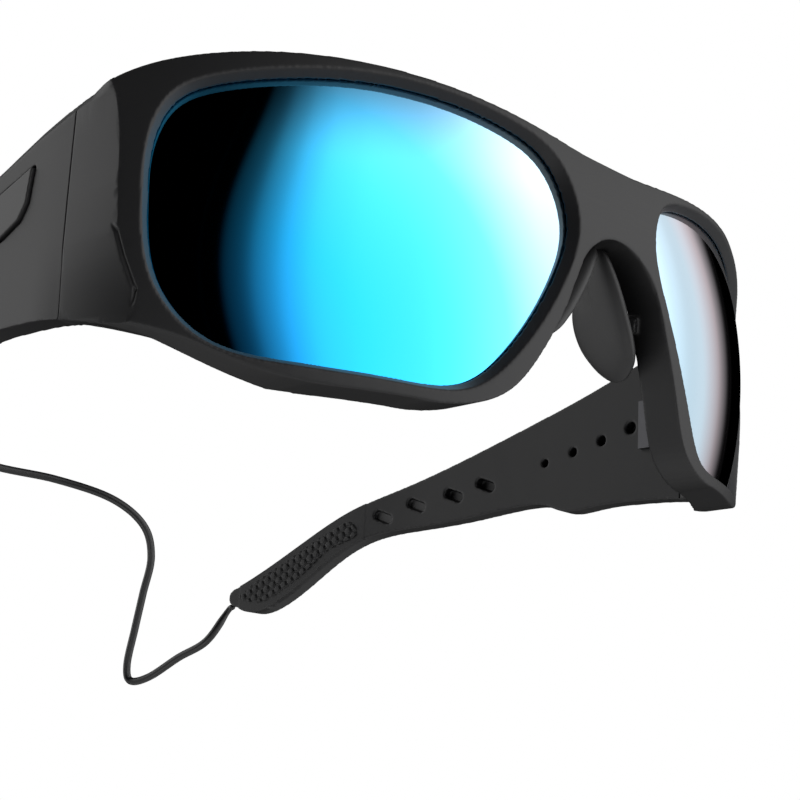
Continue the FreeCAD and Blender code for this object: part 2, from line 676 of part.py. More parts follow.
parts = [add_part("frame_front", frame_front())]
parts += with_twin(lens())
parts += add_pair("nose_pad", nose_pad())
parts += add_pair("temple_arm", temple_arm())
parts += add_pair("temple_badge", badge())
parts += add_pair("tip_grip", grip())
parts += with_twin(front_leaf())
parts += with_twin(temple_leaf())
parts += with_twin(hinge_screw())
for name, rivet_y in (("front_rivet", FRONT_RIVET_Y), ("temple_rivet", TEMPLE_RIVET_Y)):
    for end, sign in (("lower", -1), ("upper", 1)):
        parts += with_twin(rivet("%s_%s" % (name, end), rivet_y, sign * size("rivet_rise")))
parts += with_twin(cord_plug())
parts.append(add_part("neck_cord_left", cord_half(CORD_PATH_LEFT)))
parts.append(add_part("neck_cord_right", mirror(cord_half(CORD_PATH_RIGHT))))
doc.recompute()

for item in doc.Objects:
    if "Invalid" in item.State or "Error" in item.State:
        raise RuntimeError("%s did not build" % item.Label)
for part in parts:
    if part.Shape.isNull() or not part.Shape.isValid() or len(part.Shape.Solids) != 1:
        raise RuntimeError("%s is not one sound solid" % part.Label)

os.makedirs("parts", exist_ok=True)
for part in parts:
    part.Shape.exportStep("parts/%s.step" % part.Label)
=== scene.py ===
"""Looks for the wraparound sport sunglasses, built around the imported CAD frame."""
import bmesh
import bpy
import math
import numpy as np
from mathutils import Matrix, Vector


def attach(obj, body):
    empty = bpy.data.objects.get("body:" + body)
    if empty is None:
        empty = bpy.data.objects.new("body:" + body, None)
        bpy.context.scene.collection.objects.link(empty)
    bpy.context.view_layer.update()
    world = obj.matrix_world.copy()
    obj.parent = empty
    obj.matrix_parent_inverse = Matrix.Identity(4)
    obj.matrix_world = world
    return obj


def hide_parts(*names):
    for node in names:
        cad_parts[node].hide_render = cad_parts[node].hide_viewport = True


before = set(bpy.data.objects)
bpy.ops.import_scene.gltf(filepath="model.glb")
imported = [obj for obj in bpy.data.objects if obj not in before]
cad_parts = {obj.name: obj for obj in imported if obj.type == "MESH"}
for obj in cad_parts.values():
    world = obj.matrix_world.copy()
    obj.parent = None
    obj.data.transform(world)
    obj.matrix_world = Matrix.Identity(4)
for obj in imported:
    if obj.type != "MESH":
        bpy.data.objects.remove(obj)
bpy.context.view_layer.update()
MM = 0.001


# ---------------------------------------------------------------- mesh helpers

def link(name, mesh):
    """A new object in the scene with this mesh."""
    piece = bpy.data.objects.new(name, mesh)
    bpy.context.collection.objects.link(piece)
    return piece


def mesh_from(name, vertices, faces):
    mesh = bpy.data.meshes.new(name)
    mesh.from_pydata(vertices, [], faces)
    mesh.shade_smooth()
    mesh.update()
    return mesh


def apply_modifiers(piece):
    """Leaves the piece with the mesh that its modifiers make, and no modifiers."""
    graph = bpy.context.evaluated_depsgraph_get()
    mesh = bpy.data.meshes.new_from_object(piece.evaluated_get(graph))
    piece.modifiers.clear()
    piece.data = mesh


def soft_copy(node, name, voxel, rounds, crisp_y=None):
    """A copy of a CAD node with an even mesh and its sharp edges rubbed round.

    Edges near the plane y = crisp_y stay sharp, where two pieces meet flush.
    """
    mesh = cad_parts[node].data.copy()
    work = bmesh.new()
    work.from_mesh(mesh)
    bmesh.ops.remove_doubles(work, verts=work.verts, dist=0.5e-6)
    work.to_mesh(mesh)
    work.free()
    piece = link(name, mesh)
    mesh.materials.clear()
    remesh = piece.modifiers.new("even mesh", "REMESH")
    remesh.mode = "VOXEL"
    remesh.voxel_size = voxel
    apply_modifiers(piece)
    smooth = piece.modifiers.new("rubbed edges", "SMOOTH")
    smooth.factor = 0.5
    smooth.iterations = rounds
    if crisp_y is not None:
        group = piece.vertex_groups.new(name="rubbed")
        places = points_of(piece.data)
        away = np.abs(places[:, 1] - crisp_y) > 0.5 * MM
        group.add(np.nonzero(away)[0].tolist(), 1.0, "REPLACE")
        smooth.vertex_group = "rubbed"
    apply_modifiers(piece)
    piece.data.shade_smooth()
    return piece


def points_of(mesh):
    flat = np.empty(len(mesh.vertices) * 3)
    mesh.vertices.foreach_get("co", flat)
    return flat.reshape(-1, 3)


def normals_of(mesh):
    flat = np.empty(len(mesh.vertices) * 3)
    mesh.vertex_normals.foreach_get("vector", flat)
    return flat.reshape(-1, 3)


def set_points(mesh, places):
    mesh.vertices.foreach_set("co", places.ravel())
    mesh.update()


def distance_to_path(places, path):
    """The shortest distance from each place to a line through the path's points."""
    nearest = np.full(len(places), np.inf)
    for start, end in zip(path, path[1:]):
        start = np.array(start) * MM
        along = np.array(end) * MM - start
        share = np.clip((places - start) @ along / (along @ along), 0, 1)
        gap = np.linalg.norm(places - start - share[:, None] * along, axis=1)
        nearest = np.minimum(nearest, gap)
    return nearest


def groove(mesh, path, half_width, depth):
    """Presses a round-bottomed groove into a mesh along a path given in millimetres."""
    places = points_of(mesh)
    share = np.clip(distance_to_path(places, path) / (half_width * MM), 0, 1)
    push = depth * MM * (1 - share ** 2) ** 2
    set_points(mesh, places - normals_of(mesh) * push[:, None])


def thinned(piece, ratio):
    """Fewer triangles, mostly lost where the surface is flat."""
    fewer = piece.modifiers.new("thinned", "DECIMATE")
    fewer.ratio = ratio
    apply_modifiers(piece)
    piece.data.shade_smooth()


def curve_point(a, b, c, d, t):
    """The place at a share t of the way from b to c on a smooth curve through all four."""
    return 0.5 * (2 * b + (c - a) * t + (2 * a - 5 * b + 4 * c - d) * t ** 2
                  + (3 * b - a - 3 * c + d) * t ** 3)


def smooth_loop(points, count):
    """Evenly spread points of a closed smooth curve through the given ones."""
    n = len(points)
    result = []
    for index in range(n):
        near = [np.array(points[(index + k) % n], dtype=float) for k in (-1, 0, 1, 2)]
        result += [curve_point(*near, step / count) for step in range(count)]
    return result


def smooth_path(points, count):
    """Points of an open smooth curve through the given ones."""
    ends = [points[0] * 2 - points[1]] + points + [points[-1] * 2 - points[-2]]
    result = []
    for near in zip(ends, ends[1:], ends[2:], ends[3:]):
        result += [curve_point(*near, step / count) for step in range(count)]
    return result + [points[-1]]


def two_discs(rings, n):
    """The faces of two discs of rings around a middle, n points to a ring, facing opposite ways."""
    faces = []
    for disc in (0, 1):
        base = disc * (rings + 1) * n
        for ring in range(rings):
            here = base + ring * n
            for k in range(n):
                following = (k + 1) % n
                quad = [here + k, here + following, here + n + following, here + n + k]
                faces.append(quad if disc else quad[::-1])
    return faces


def mirrored_copy(piece, name):
    """The wearer's right-hand twin of a left-hand piece."""
    mesh = piece.data.copy()
    mesh.transform(Matrix.Scale(-1, 4, Vector((1, 0, 0))))
    mesh.flip_normals()
    return link(name, mesh)


def wear(piece, material):
    piece.data.materials.clear()
    piece.data.materials.append(material)


def put(piece, body, material, node):
    """The piece rides on a body, stands for a CAD node and wears a material."""
    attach(piece, body)
    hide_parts(node)
    wear(piece, material)


# ---------------------------------------------------------------- materials

def node_material(name):
    material = bpy.data.materials.new(name)
    material.use_nodes = True
    tree = material.node_tree
    shader = tree.nodes["Principled BSDF"]
    return material, tree, shader


BROAD_PATCH = 60 * MM       # size of the slow change in colour across a moulding
GLOSS_SWING = 0.06          # how far a moulding's roughness strays either way
BRUSHED_SWING = 0.1
BUMP_STRENGTH = 0.35


def noise(tree, vector, size, detail):
    """Noise whose features have this size."""
    node = tree.nodes.new("ShaderNodeTexNoise")
    node.inputs["Scale"].default_value = 1 / size
    node.inputs["Detail"].default_value = detail
    tree.links.new(vector, node.inputs["Vector"])
    return node


def uneven_gloss(tree, shader, pattern, low, high):
    """Roughness that follows a pattern between two values."""
    gloss = tree.nodes.new("ShaderNodeMapRange")
    gloss.inputs["To Min"].default_value = low
    gloss.inputs["To Max"].default_value = high
    tree.links.new(pattern.outputs["Fac"], gloss.inputs["Value"])
    tree.links.new(gloss.outputs["Result"], shader.inputs["Roughness"])


def moulded(name, colour, roughness, grain, depth, specular=0.5, vary=0.25):
    """Moulded plastic or rubber: fine grain, a little uneven in colour and gloss."""
    material, tree, shader = node_material(name)
    place = tree.nodes.new("ShaderNodeTexCoord")
    fine = noise(tree, place.outputs["Object"], grain, 3)
    broad = noise(tree, place.outputs["Object"], BROAD_PATCH, 4)
    tint = tree.nodes.new("ShaderNodeMix")
    tint.data_type = "RGBA"
    tint.inputs["A"].default_value = (*[c * (1 - vary) for c in colour], 1)
    tint.inputs["B"].default_value = (*[c * (1 + vary) for c in colour], 1)
    tree.links.new(broad.outputs["Fac"], tint.inputs["Factor"])
    tree.links.new(tint.outputs["Result"], shader.inputs["Base Color"])
    uneven_gloss(tree, shader, fine, roughness - GLOSS_SWING, roughness + GLOSS_SWING)
    shader.inputs["Specular IOR Level"].default_value = specular
    bump = tree.nodes.new("ShaderNodeBump")
    bump.inputs["Strength"].default_value = BUMP_STRENGTH
    bump.inputs["Distance"].default_value = depth
    tree.links.new(fine.outputs["Fac"], bump.inputs["Height"])
    tree.links.new(bump.outputs["Normal"], shader.inputs["Normal"])
    return material


def brushed(name, colour, roughness):
    """Steel with fine vertical brushing."""
    material, tree, shader = node_material(name)
    place = tree.nodes.new("ShaderNodeTexCoord")
    stretch = tree.nodes.new("ShaderNodeMapping")
    stretch.inputs["Scale"].default_value = (1, 1, 0.08)
    tree.links.new(place.outputs["Object"], stretch.inputs["Vector"])
    strokes = noise(tree, stretch.outputs["Vector"], 0.12 * MM, 2)
    uneven_gloss(tree, shader, strokes, roughness - BRUSHED_SWING, roughness + BRUSHED_SWING)
    shader.inputs["Base Color"].default_value = (*colour, 1)
    shader.inputs["Metallic"].default_value = 1
    return material


# The lens coating: angle to the line of sight in degrees, then the share of red, green and blue sent back.
LENS_TINTS = [(0, (0.02, 0.42, 1.0)), (18, (0.022, 0.48, 1.0)), (30, (0.05, 0.55, 1.0)),
              (40, (0.1, 0.58, 1.0)), (48, (0.28, 0.64, 0.97)), (56, (0.52, 0.74, 0.88)),
              (66, (0.6, 0.76, 0.88)), (72, (0.78, 0.66, 0.72)), (80, (0.5, 0.48, 0.54)),
              (90, (0.6, 0.6, 0.65))]


def lens_mirror(name):
    """A mirror coating: deep blue face-on, then pale blue, then pinkish grey at a low angle."""
    material, tree, shader = node_material(name)
    facing = tree.nodes.new("ShaderNodeLayerWeight")
    facing.inputs["Blend"].default_value = 0.5
    ramp = tree.nodes.new("ShaderNodeValToRGB")
    stops = [(1 - math.cos(math.radians(angle)), colour) for angle, colour in LENS_TINTS]
    points = ramp.color_ramp.elements
    points[0].position, points[0].color = stops[0][0], (*stops[0][1], 1)
    points[1].position, points[1].color = stops[-1][0], (*stops[-1][1], 1)
    for position, colour in stops[1:-1]:
        points.new(position).color = (*colour, 1)
    tree.links.new(facing.outputs["Facing"], ramp.inputs["Fac"])
    tree.links.new(ramp.outputs["Color"], shader.inputs["Base Color"])
    shader.inputs["Metallic"].default_value = 1
    place = tree.nodes.new("ShaderNodeTexCoord")
    haze = noise(tree, place.outputs["Object"], 9 * MM, 5)
    uneven_gloss(tree, shader, haze, 0.03, 0.06)
    return material


# ---------------------------------------------------------------- materials used

FRAME_BLACK = moulded("frame_black", (0.017, 0.017, 0.018), 0.48, 0.12 * MM, 0.01 * MM, 0.33)
TEMPLE_BLACK = moulded("temple_black", (0.017, 0.017, 0.018), 0.48, 0.12 * MM, 0.01 * MM, 0.33)
BADGE_GREY = moulded("badge_grey", (0.02, 0.02, 0.021), 0.44, 0.15 * MM, 0.01 * MM, 0.35)
PAD_BLACK = moulded("pad_black", (0.021, 0.021, 0.022), 0.55, 0.2 * MM, 0.015 * MM)
GRIP_BLACK = moulded("grip_black", (0.014, 0.014, 0.015), 0.6, 0.25 * MM, 0.02 * MM)
CORD_BLACK = moulded("cord_black", (0.01, 0.01, 0.011), 0.38, 0.3 * MM, 0.02 * MM)
HINGE_STEEL = brushed("hinge_steel", (0.08, 0.08, 0.085), 0.4)
SCREW_STEEL = brushed("screw_steel", (0.3, 0.3, 0.31), 0.3)
MIRROR = lens_mirror("ice_mirror")
LENS_BACK = moulded("lens_back", (0.03, 0.035, 0.04), 0.12, 2 * MM, 0.0005 * MM)


# ---------------------------------------------------------------- front and temples

HINGE_Y = 34.0
PARTING = 0.15          # half the gap between the front and a temple in the CAD parts
CLOSER = 0.11           # how much each side closes that gap in the soft copies

# Grooves on the left end of the front, in millimetres.
SEAM = [(65.5, 24, -5.2), (64.6, 23.4, -8.4), (62.9, 22.6, -12.3)]
NOTCH = [(66.5, 26.2, 0.3), (66.1, 25, -4), (65.5, 24, -5.2)]
HOOK = [(62.9, 22.6, -12.3), (63.2, 23, -14.2), (64.6, 24.6, -14.4), (66.2, 26.6, -13.6)]

# The top line of a temple: (back, up).
TEMPLE_TOP = [(27.4, 15.4), (33, 14.6), (42, 12.4), (51, 9.4), (72, 3.2), (90, -1.9), (104, -5.4),
              (116, -8.6), (128, -13.9), (147.6, -23)]
CHAMFER = 1.5           # height of the slanted strip along the top of the outer face
CHAMFER_DEPTH = 0.8     # how far in its upper edge is
CHAMFER_FADE = 4.0      # length over which the strip grows to its full depth
CHAMFER_INNER = 64.6    # nothing nearer the middle than this moves
CHAMFER_EASE = 1.9
OUTER_X = 66.5
SWEEP_Y = 40.0          # where the outer faces start to curve in towards the rim
# How far in they are where they meet the rim, and where that is: (up, depth, back).
SWEEP = [(-15, 4.2, 22), (-12.3, 3.4, 22.6), (-8.4, 1.9, 23.4), (-5.2, 1, 24), (1.1, 0.6, 24.2),
         (8.9, 0.6, 25.1), (13.3, 0.6, 25.2), (17, 0.2, 24)]
PAST_RIM = 1.4          # the curve ends at this many times its length up to the rim

# The inner face of a temple seen from above: (back, out).
TEMPLE_INNER = [(20, 62.7), (60, 62.7), (75, 62.3), (90, 61.5), (103, 60.5), (115, 59), (128, 57.5),
                (149, 55), (152, 54.6)]
WALL_FROM = 62.6        # the walls that meet at the parting lie outside this
FLUSH = 0.35            # how near the parting plane a point of an end face lies
RECESS = (112, 146.5)   # where the recess for the grip starts and ends
RECESS_DEPTH = 1.3      # a little more than the depth of its floor

ROUNDS = 6              # how often the edges are rubbed
FRONT_VOXEL = 0.22
TEMPLE_VOXEL = 0.2
BADGE_VOXEL = 0.15


def both_sides(path):
    return [path, [(-x, y, z) for x, y, z in path]]


def chamfer_top(mesh):
    """Slants a narrow strip of the outer face inwards along the top line."""
    places = points_of(mesh)
    back = np.array([y for y, _ in TEMPLE_TOP]) * MM
    up = np.array([z for _, z in TEMPLE_TOP]) * MM
    below = np.interp(places[:, 1], back, up) - places[:, 2]
    share = np.clip(1 - below / (CHAMFER * MM), 0, 1)
    fade_in = np.clip((places[:, 1] - TEMPLE_TOP[0][0] * MM) / (CHAMFER_FADE * MM), 0, 1)
    outer = np.clip((np.abs(places[:, 0]) - CHAMFER_INNER * MM) / (CHAMFER_EASE * MM), 0, 1)
    places[:, 0] -= np.sign(places[:, 0]) * share * fade_in * outer * CHAMFER_DEPTH * MM
    set_points(mesh, places)


def sweep_sides_in(mesh):
    """Curves the outer faces inwards to meet the rim along the seam."""
    places = points_of(mesh)
    up, depth, seam_y = zip(*SWEEP)
    deep = np.interp(places[:, 2] / MM, up, depth)
    seam_y = np.interp(places[:, 2] / MM, up, seam_y)
    share = np.clip((SWEEP_Y - places[:, 1] / MM) / (SWEEP_Y - seam_y), 0, PAST_RIM)
    limit = (OUTER_X - deep * share ** 2) * MM
    places[:, 0] = np.clip(places[:, 0], -limit, limit)
    set_points(mesh, places)


def close_parting(mesh, towards):
    """Brings the flush end faces closer to the plane where front and temple meet."""
    places = points_of(mesh)
    side = np.abs(places[:, 1] - (HINGE_Y - towards * PARTING) * MM) < FLUSH * MM
    solid = np.abs(places[:, 0]) > WALL_FROM * MM
    places[side & solid, 1] += towards * CLOSER * MM
    set_points(mesh, places)


def inner_face(places):
    """How far out the inner face of the left temple is beside each place."""
    back, out = zip(*TEMPLE_INNER)
    return np.interp(places[:, 1] / MM, back, out) * MM


def fill_grip_recess(mesh):
    """Lifts the floor of the grip's recess to the inner face, so that grip and temple are one surface."""
    places = points_of(mesh)
    face = inner_face(places)
    behind = (places[:, 1] > RECESS[0] * MM) & (places[:, 1] < RECESS[1] * MM)
    shallow = behind & (places[:, 0] < face + RECESS_DEPTH * MM)
    places[shallow, 0] = face[shallow]
    set_points(mesh, places)


def front():
    piece = soft_copy("frame_front", "front_shell", FRONT_VOXEL * MM, ROUNDS, HINGE_Y * MM)
    mesh = piece.data
    sweep_sides_in(mesh)
    chamfer_top(mesh)
    for path in both_sides(SEAM):
        groove(mesh, path, 0.45, 0.35)
    for path in both_sides(NOTCH) + both_sides(HOOK):
        groove(mesh, path, 0.4, 0.3)
    close_parting(mesh, 1)
    thinned(piece, 0.35)
    put(piece, "frame", FRAME_BLACK, "frame_front")


def temples():
    left = soft_copy("temple_arm_left", "temple_shell_left", TEMPLE_VOXEL * MM, ROUNDS, HINGE_Y * MM)
    sweep_sides_in(left.data)
    chamfer_top(left.data)
    fill_grip_recess(left.data)
    close_parting(left.data, -1)
    thinned(left, 0.4)
    right = mirrored_copy(left, "temple_shell_right")
    put(left, "temple_left", TEMPLE_BLACK, "temple_arm_left")
    put(right, "temple_right", TEMPLE_BLACK, "temple_arm_right")
    badge = soft_copy("temple_badge_left", "badge_plate_left", BADGE_VOXEL * MM, ROUNDS)
    twin = mirrored_copy(badge, "badge_plate_right")
    put(badge, "temple_left", BADGE_GREY, "temple_badge_left")
    put(twin, "temple_right", BADGE_GREY, "temple_badge_right")


# ---------------------------------------------------------------- lenses

# One lens seen along its own axis, in millimetres: across towards the temple, and up.
LENS_OUTLINE = [(0, 19.6), (8, 19.1), (15.4, 17.9), (23, 16), (28, 13.2), (30.4, 8), (30.8, -0.3),
                (28.8, -10.6), (22.6, -17), (13, -18.9), (-2, -19.3), (-10.8, -18.2), (-16.8, -12.8),
                (-23.9, -0.9), (-26, 8.6), (-22.8, 15.2), (-15.8, 18.2), (-8, 19.3)]
LENS_TILT = math.radians(21.4)
BALL_CENTRE = Vector((10.4, 70.2, 0))
BALL_RADIUS = 70.2
LENS_THICK = 2.0
LENS_UNDER_RIM = 1.035  # how much larger the lens is than the opening it fills
LENS_RINGS = 40


def lens_plate():
    """A shell between two balls that share a centre, its front face dense enough to mirror cleanly."""
    across = Vector((math.cos(LENS_TILT), math.sin(LENS_TILT), 0))
    forward = Vector((math.sin(LENS_TILT), -math.cos(LENS_TILT), 0))
    outline = [point * LENS_UNDER_RIM for point in smooth_loop(LENS_OUTLINE, 10)]
    n = len(outline)
    vertices = []
    for radius in (BALL_RADIUS, BALL_RADIUS - LENS_THICK):
        for ring in range(LENS_RINGS + 1):
            for s, z in (point * ring / LENS_RINGS for point in outline):
                depth = math.sqrt(radius ** 2 - s * s - z * z)
                vertices.append((BALL_CENTRE + across * s + Vector((0, 0, z)) + forward * depth) * MM)
    faces = two_discs(LENS_RINGS, n)
    front_edge = LENS_RINGS * n
    back_edge = (2 * LENS_RINGS + 1) * n
    for k in range(n):
        following = (k + 1) % n
        faces.append([front_edge + k, front_edge + following, back_edge + following, back_edge + k])
    mesh = mesh_from("lens_plate_left", vertices, faces)
    mesh.materials.append(None)
    mesh.materials.append(None)
    work = bmesh.new()
    work.from_mesh(mesh)
    work.faces.ensure_lookup_table()
    for face in work.faces:
        face.material_index = 0 if face.index < LENS_RINGS * n else 1
    bmesh.ops.remove_doubles(work, verts=work.verts, dist=1e-7)
    bmesh.ops.recalc_face_normals(work, faces=work.faces)
    work.to_mesh(mesh)
    work.free()
    mesh.shade_smooth()
    mesh.set_sharp_from_angle(angle=math.radians(40))
    return link("lens_plate_left", mesh)


def lenses():
    left = lens_plate()
    right = mirrored_copy(left, "lens_plate_right")
    for piece, side in ((left, "left"), (right, "right")):
        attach(piece, "frame")
        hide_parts("lens_" + side)
        piece.data.materials[0] = MIRROR
        piece.data.materials[1] = LENS_BACK


# ---------------------------------------------------------------- grips, pads and cord

CELL_PITCH = 1.9        # from the middle of one raised cell to the next
CELL_SLOPE = math.radians(-26)
CELL_HALF = 0.44        # half a cell's width, as a share of the pitch
CELL_WALL = 0.12        # width of its sloping side, as a share of the pitch
CELL_RISE = 0.3         # height of a cell above the groove beside it
CELL_SINK = 0.21        # how far the grooves are below the grip's CAD face
GRIP_SKIN = 0.2         # only points this near the inner face move
GRIP_VOXEL = 0.13
GRIP_ROUNDS = 5


def cell_height(y, z):
    """1 on a raised six-sided cell, 0 in the grooves between cells."""
    u = (y * math.cos(CELL_SLOPE) + z * math.sin(CELL_SLOPE)) / CELL_PITCH
    v = (z * math.cos(CELL_SLOPE) - y * math.sin(CELL_SLOPE)) / CELL_PITCH
    row = math.sqrt(3)
    best = np.full(y.shape, np.inf)
    for shift in (0.0, 0.5):
        du = u - shift - np.round(u - shift)
        dv = v - shift * row - np.round((v - shift * row) / row) * row
        across = np.abs(du)
        slanted = across * 0.5 + np.abs(dv) * row / 2
        best = np.minimum(best, np.maximum(across, slanted))
    return np.clip((CELL_HALF - best) / CELL_WALL, 0, 1)


def grips():
    left = soft_copy("tip_grip_left", "grip_left", GRIP_VOXEL * MM, GRIP_ROUNDS)
    mesh = left.data
    places = points_of(mesh)
    skin = GRIP_SKIN * MM
    inner = np.clip((inner_face(places) + skin - places[:, 0]) / skin, 0, 1)
    cells = cell_height(places[:, 1] / MM, places[:, 2] / MM)
    places[:, 0] += inner * (CELL_SINK - CELL_RISE * cells) * MM
    set_points(mesh, places)
    thinned(left, 0.6)
    right = mirrored_copy(left, "grip_right")
    put(left, "temple_left", GRIP_BLACK, "tip_grip_left")
    put(right, "temple_right", GRIP_BLACK, "tip_grip_right")


# A nose pad: its middle, the way it faces, and its outline as (down, back) in its own plane.
PAD_CENTRE = Vector((7.6, 8.1, -1.0))
PAD_NORMAL = Vector((-0.82, 0.35, -0.45)).normalized()
PAD_DOWN = Vector((0.45, 0, -0.89))
PAD_OUTLINE = [(-10.6, 3.4), (-8.1, 2.4), (-6.2, 0), (-4.6, -2.6), (-3.3, -4.8), (-1.5, -6.2),
               (1.0, -6.9), (3.7, -6.6), (6.0, -5.3), (8.0, -3.3), (9.3, -0.6), (8.9, 2.5), (7.4, 5.0),
               (5.6, 6.4), (3.5, 7.0), (1.6, 7.3), (-2.8, 7.6), (-6.4, 7.5), (-9.4, 6.9), (-10.9, 5.2)]
PAD_THICK = 2.2
PAD_CROWN = 0.5
PAD_RINGS = 14


def pad():
    """A soft wing: round edged, crowned on one face and thickest in its middle."""
    outline = smooth_loop(PAD_OUTLINE, 4)
    down = (PAD_DOWN - PAD_DOWN.dot(PAD_NORMAL) * PAD_NORMAL).normalized()
    back = PAD_NORMAL.cross(down)
    middle = sum(outline) / len(outline)
    vertices = []
    for face in (1, -1):
        for ring in range(PAD_RINGS + 1):
            share = math.sin(math.pi / 2 * ring / PAD_RINGS)
            crown = PAD_CROWN * (1 - share ** 2) * (face > 0)
            height = face * (PAD_THICK / 2 * (1 - share ** 6) ** 0.5 + crown)
            for u, v in (middle + (point - middle) * share for point in outline):
                vertices.append((PAD_CENTRE + down * u + back * v + PAD_NORMAL * height) * MM)
    mesh = mesh_from("pad_left", vertices, two_discs(PAD_RINGS, len(outline)))
    work = bmesh.new()
    work.from_mesh(mesh)
    bmesh.ops.remove_doubles(work, verts=work.verts, dist=1e-6)
    bmesh.ops.recalc_face_normals(work, faces=work.faces)
    work.to_mesh(mesh)
    work.free()
    mesh.shade_smooth()
    return link("pad_left", mesh)


def pads():
    left = pad()
    right = mirrored_copy(left, "pad_right")
    put(left, "frame", PAD_BLACK, "nose_pad_left")
    put(right, "frame", PAD_BLACK, "nose_pad_right")


TIP_EXIT = Vector((56.85, 149.1, -25.95))
CORD_START = Vector((-0.06, 0.86, -0.5)).normalized()
CORD_PIVOT = TIP_EXIT + CORD_START * 1.45       # one cord radius and a small gap past the plug
CORD_LEAD = 1.6         # length that runs straight on from the plug
CORD_RADIUS = 0.85
CORD_SIDES = 16
CORD_STEPS = 10         # rings between two points of the route
END_RINGS = 5
# The drawn cord is thinner beside its plug, which it would otherwise cut at full swing.
CRIMP = 0.74
CRIMP_FROM = 1.5
CRIMP_LENGTH = 3.5
CORD_LEFT = [(55, 156.4, -34), (53.6, 164.2, -37.4), (52.2, 172.4, -41.4), (51, 177.8, -42.2),
             (50, 178.2, -38.6), (49, 175, -31), (48, 171.6, -23.2), (46.8, 168, -15.4), (43.4, 167.2, -8.8),
             (36.6, 170.4, -3.6), (26, 176.8, -0.4), (13, 182.2, 1), (0.05, 184, 4)]
CORD_RIGHT = [(55, 156.4, -34), (55.5, 162.5, -35), (57.5, 167.5, -30), (58.8, 170, -21),
              (58.5, 171.5, -12), (56, 173.5, -3), (51, 175.5, 5), (43, 177.7, 10.5), (31, 180.3, 12),
              (16, 182.8, 9), (0.05, 184, 4)]


def crimp_at(distance):
    """Share of the full thickness at a distance in millimetres from the cord's pivot."""
    share = min(max((distance - CRIMP_FROM) / CRIMP_LENGTH, 0), 1)
    return CRIMP + (1 - CRIMP) * share * share * (3 - 2 * share)


def tube(name, path, radius):
    """A round cord along a path, closed by a round end beside the plug and a flat one at the middle."""
    sides = CORD_SIDES
    ring_at = []
    for step in range(1, END_RINGS):
        turn = math.pi / 2 * step / END_RINGS
        inward = (path[1] - path[0]).normalized() * radius * CRIMP * math.cos(turn)
        ring_at.append((path[0] - inward, radius * CRIMP * math.sin(turn), 0))
    for index, place in enumerate(path):
        ring_at.append((place, radius * crimp_at((place - path[0]).length), index))
    across = Vector((1, 0, 0))
    vertices = []
    for place, wide, index in ring_at:
        ahead = (path[min(index + 1, len(path) - 1)] - path[max(index - 1, 0)]).normalized()
        across = (across - across.dot(ahead) * ahead).normalized()
        over = ahead.cross(across)
        for side in range(sides):
            turn = 2 * math.pi * side / sides
            vertices.append((place + (across * math.cos(turn) + over * math.sin(turn)) * wide) * MM)
    faces = []
    for ring in range(len(ring_at) - 1):
        for side in range(sides):
            following = (side + 1) % sides
            faces.append((ring * sides + side, ring * sides + following,
                          (ring + 1) * sides + following, (ring + 1) * sides + side))
    faces.append(tuple(reversed(range(sides))))
    last = (len(ring_at) - 1) * sides
    faces.append(tuple(range(last, last + sides)))
    return link(name, mesh_from(name, vertices, faces))


def cords():
    for side, route, sign in (("left", CORD_LEFT, 1), ("right", CORD_RIGHT, -1)):
        start = [CORD_PIVOT, CORD_PIVOT + CORD_START * CORD_LEAD]
        path = smooth_path(start + [Vector(point) for point in route], CORD_STEPS)
        path = [Vector((sign * place.x, place.y, place.z)) for place in path]
        piece = tube("cord_" + side, path, CORD_RADIUS)
        put(piece, "cord_" + side, CORD_BLACK, "neck_cord_" + side)


def dress_kept_parts():
    """Parts that keep their CAD mesh: steel for hinges, screws and rivets, rubber for the cord plugs."""
    for node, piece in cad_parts.items():
        if "screw" in node or "rivet" in node:
            wear(piece, SCREW_STEEL)
        elif node.startswith("hinge_"):
            wear(piece, HINGE_STEEL)
        elif node.startswith("cord_plug"):
            wear(piece, CORD_BLACK)


front()
temples()
grips()
pads()
cords()
lenses()
dress_kept_parts()


# ---------------------------------------------------------------- stage, light and camera

FLOOR_Z = -0.15
CAMERA_AZIMUTH = math.radians(-46.8)
CAMERA_ELEVATION = math.radians(-13.93)
CAMERA_ROLL = math.radians(2.08)
CAMERA_DISTANCE = 256.66 * MM
CAMERA_TARGET = Vector((7.42, 30.02, -14.62)) * MM
CAMERA_LENS = 75.57
CAMERA_SHIFT = (-0.1059, 0.0413)

# Brightness of the large soft box by bearing in degrees: dim at its edges, brightest off centre.
SOFT_BOX = [(-48, 0), (-42, 0.03), (-35.5, 0.3), (-29, 1.0), (-22, 1.8), (-12, 2.2), (8, 2.3), (20, 2.7),
            (32, 3.1), (44, 2.8), (56, 1.9), (66, 1.25), (78, 1.1), (87, 0.6), (94, 0.1), (100, 0)]
PEAK = 4.0
PROFILE_SPAN = (-60, 120)       # the bearings between which that table is read
# Each light: where it stands as (from, to, softness), in degrees of bearing or as a height, and its strength.
AHEAD_BEARING = (-70, 125, 4)
AHEAD_HEIGHT = (-0.62, 0.76, 0.2)
BACK_LEFT_BEARING = (-178, -121, 20)
BACK_LEFT_HEIGHT = (-0.4, 0.7, 0.25)
BACK_LEFT_LIGHT = 2.1
LOW_LEFT_BEARING = (-110, -55, 14)
LOW_LEFT_HEIGHT = (-0.85, -0.4, 0.12)
LOW_LEFT_LIGHT = 1.3
BELOW_HEIGHT = (-2, -0.55, 0.15)
BELOW_LIGHT = 0.9
GLOW = 0.06                     # the room between the lights
BEND = 0.5                      # how far the soft box leans away from its middle height
BEND_HEIGHT = 0.17


FLOOR_HALF = 1.5


